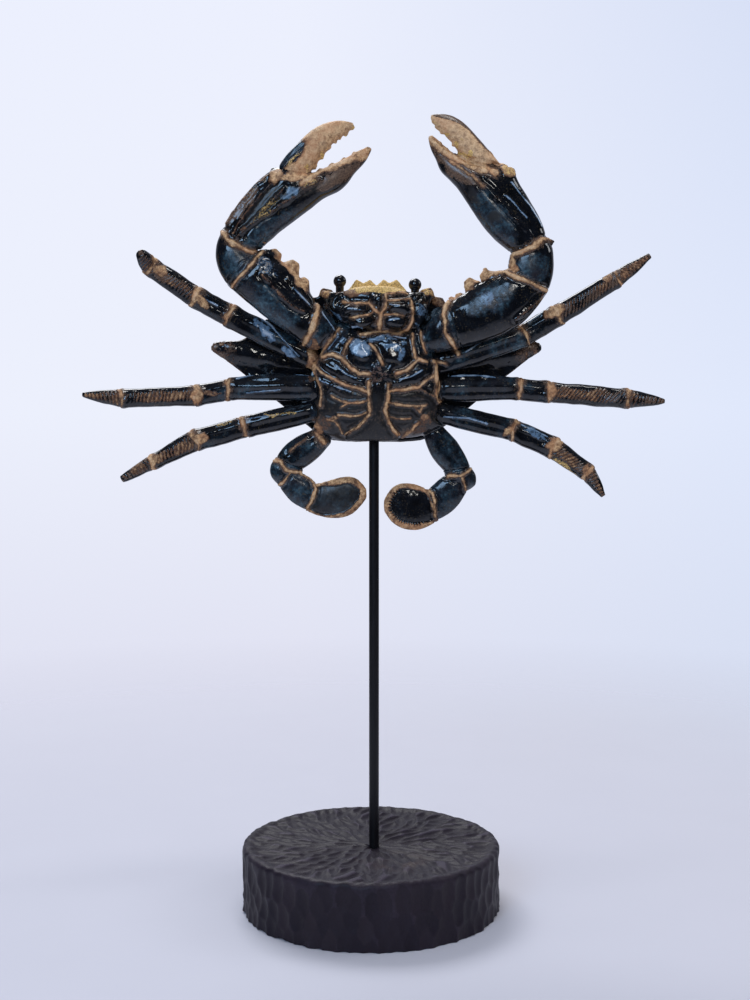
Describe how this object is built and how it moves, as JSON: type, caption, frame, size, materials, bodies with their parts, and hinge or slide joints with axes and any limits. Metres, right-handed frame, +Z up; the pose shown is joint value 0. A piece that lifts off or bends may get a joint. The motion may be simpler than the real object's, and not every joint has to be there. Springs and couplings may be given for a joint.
{
  "type": "ceramic crab ornament on a stand",
  "caption": "Glazed ceramic swimming crab ornament with raised claws, spread legs and paddle feet, held upright on a thin steel rod in a round carved wood base.",
  "frame": {"origin": "middle of the base's underside", "axes": "+Z up, towards the claws; -Y towards the crab's underside, which faces the viewer; +X towards the crab's left limbs"},
  "size_m": [0.2888, 0.13, 0.3976],
  "materials": {
    "glaze": "dark blue gloss glaze, thin over raised edges",
    "bare_clay": "matt tan clay",
    "eye_glaze": "black gloss glaze",
    "black_steel": "satin black",
    "dark_wood": "charcoal stain over chisel marks"
  },
  "bodies": {
    "root": {"stand_base": "dark_wood", "stand_rod": "black_steel", "carapace": "glaze", "thorax": "glaze", "abdomen": "glaze", "face": "glaze", "maxilliped_right": "glaze", "maxilliped_left": "glaze", "antennules": "glaze", "eye_right": "eye_glaze", "eye_left": "eye_glaze", "cheliped_ischium_right": "glaze", "cheliped_merus_right": "glaze", "cheliped_carpus_right": "glaze", "cheliped_palm_right": "glaze", "cheliped_finger_right": "bare_clay", "cheliped_ischium_left": "glaze", "cheliped_merus_left": "glaze", "cheliped_carpus_left": "glaze", "cheliped_palm_left": "glaze", "cheliped_finger_left": "bare_clay", "leg_merus_1_right": "glaze", "leg_carpus_1_right": "glaze", "leg_propodus_1_right": "glaze", "leg_dactyl_1_right": "glaze", "leg_merus_2_right": "glaze", "leg_carpus_2_right": "glaze", "leg_propodus_2_right": "glaze", "leg_dactyl_2_right": "glaze", "leg_merus_3_right": "glaze", "leg_carpus_3_right": "glaze", "leg_propodus_3_right": "glaze", "leg_dactyl_3_right": "glaze", "swimmer_merus_right": "glaze", "swimmer_carpus_right": "glaze", "swimmer_propodus_right": "glaze", "swimmer_paddle_right": "glaze", "leg_merus_1_left": "glaze", "leg_carpus_1_left": "glaze", "leg_propodus_1_left": "glaze", "leg_dactyl_1_left": "glaze", "leg_merus_2_left": "glaze", "leg_carpus_2_left": "glaze", "leg_propodus_2_left": "glaze", "leg_dactyl_2_left": "glaze", "leg_merus_3_left": "glaze", "leg_carpus_3_left": "glaze", "leg_propodus_3_left": "glaze", "leg_dactyl_3_left": "glaze", "swimmer_merus_left": "glaze", "swimmer_carpus_left": "glaze", "swimmer_propodus_left": "glaze", "swimmer_paddle_left": "glaze"}
  },
  "joints": []
}
